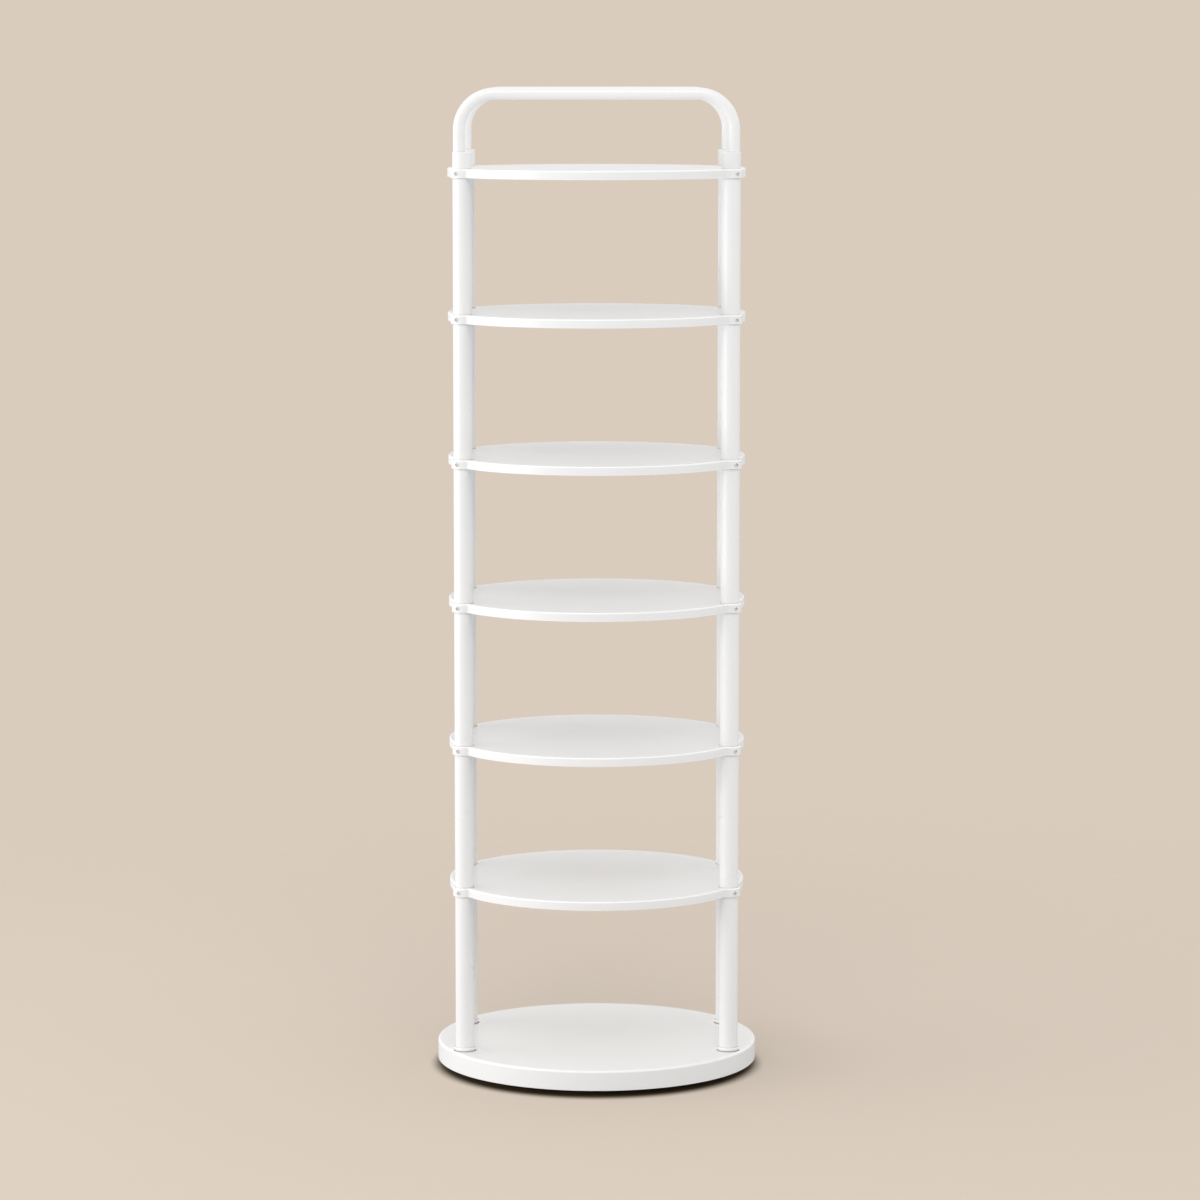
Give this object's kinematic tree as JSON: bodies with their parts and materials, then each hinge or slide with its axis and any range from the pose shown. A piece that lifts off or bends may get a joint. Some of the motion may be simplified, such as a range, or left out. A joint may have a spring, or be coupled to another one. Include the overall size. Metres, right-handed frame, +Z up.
{
  "type": "round shoe rack",
  "caption": "Tall round rack with flat disc shelves clamped on tube posts, a thick disc base on a hidden ball turntable, and tube bows above the top shelf.",
  "frame": {"origin": "centre of the footprint on the floor, on the turning axis", "axes": "+Z up the posts; the front of the picture faces -Y, and the bars of the bows run along X"},
  "size_m": [0.4339, 0.434, 1.3285],
  "materials": {
    "white_tube": "satin powder coat",
    "white_plastic": "satin moulded",
    "black_plastic": "matt moulded",
    "pad_rubber": "matt",
    "nylon": "natural",
    "ball_steel": "polished",
    "zinc_steel": "zinc plated"
  },
  "bodies": {
    "stand": {"foot_disc": "black_plastic", "foot_pad_1": "pad_rubber", "foot_pad_2": "pad_rubber", "foot_pad_3": "pad_rubber", "foot_pad_4": "pad_rubber", "foot_pad_5": "pad_rubber", "foot_pad_6": "pad_rubber", "lower_race": "zinc_steel", "lower_race_screws": "zinc_steel"},
    "ball_ring": {"ball_cage": "nylon", "bearing_balls": "ball_steel"},
    "rack": {"base_shell": "white_plastic", "bolt_washers": "zinc_steel", "bow_front": "white_tube", "bow_rear": "white_tube", "bow_socket_front_left": "white_plastic", "bow_socket_front_right": "white_plastic", "bow_socket_rear_left": "white_plastic", "bow_socket_rear_right": "white_plastic", "end_plug_front_left": "nylon", "end_plug_front_right": "nylon", "end_plug_rear_left": "nylon", "end_plug_rear_right": "nylon", "foot_bush_front_left": "white_plastic", "foot_bush_front_right": "white_plastic", "foot_bush_rear_left": "white_plastic", "foot_bush_rear_right": "white_plastic", "joint_sleeve_front_left_2": "zinc_steel", "joint_sleeve_front_left_4": "zinc_steel", "joint_sleeve_front_right_2": "zinc_steel", "joint_sleeve_front_right_4": "zinc_steel", "joint_sleeve_rear_left_2": "zinc_steel", "joint_sleeve_rear_left_4": "zinc_steel", "joint_sleeve_rear_right_2": "zinc_steel", "joint_sleeve_rear_right_4": "zinc_steel", "pivot_screw": "zinc_steel", "pivot_washer": "zinc_steel", "post_bolts": "zinc_steel", "post_front_left_lower": "white_tube", "post_front_left_middle": "white_tube", "post_front_left_upper": "white_tube", "post_front_right_lower": "white_tube", "post_front_right_middle": "white_tube", "post_front_right_upper": "white_tube", "post_rear_left_lower": "white_tube", "post_rear_left_middle": "white_tube", "post_rear_left_upper": "white_tube", "post_rear_right_lower": "white_tube", "post_rear_right_middle": "white_tube", "post_rear_right_upper": "white_tube", "shelf_1": "white_plastic", "shelf_2": "white_plastic", "shelf_3": "white_plastic", "shelf_4": "white_plastic", "shelf_5": "white_plastic", "shelf_6": "white_plastic", "shelf_screws": "zinc_steel", "upper_race": "zinc_steel", "upper_race_screws": "zinc_steel"}
  },
  "joints": [
    {"name": "rack_spin", "type": "hinge", "parent": "stand", "child": "rack", "pos_m": [0, 0, 0], "axis": [0, 0, 1], "continuous": true},
    {"name": "cage_spin", "type": "hinge", "parent": "stand", "child": "ball_ring", "pos_m": [0, 0, 0], "axis": [0, 0, 1], "continuous": true}
  ],
  "couplings": [
    {"joint": "cage_spin", "follows": "rack_spin", "ratio": 0.5}
  ]
}
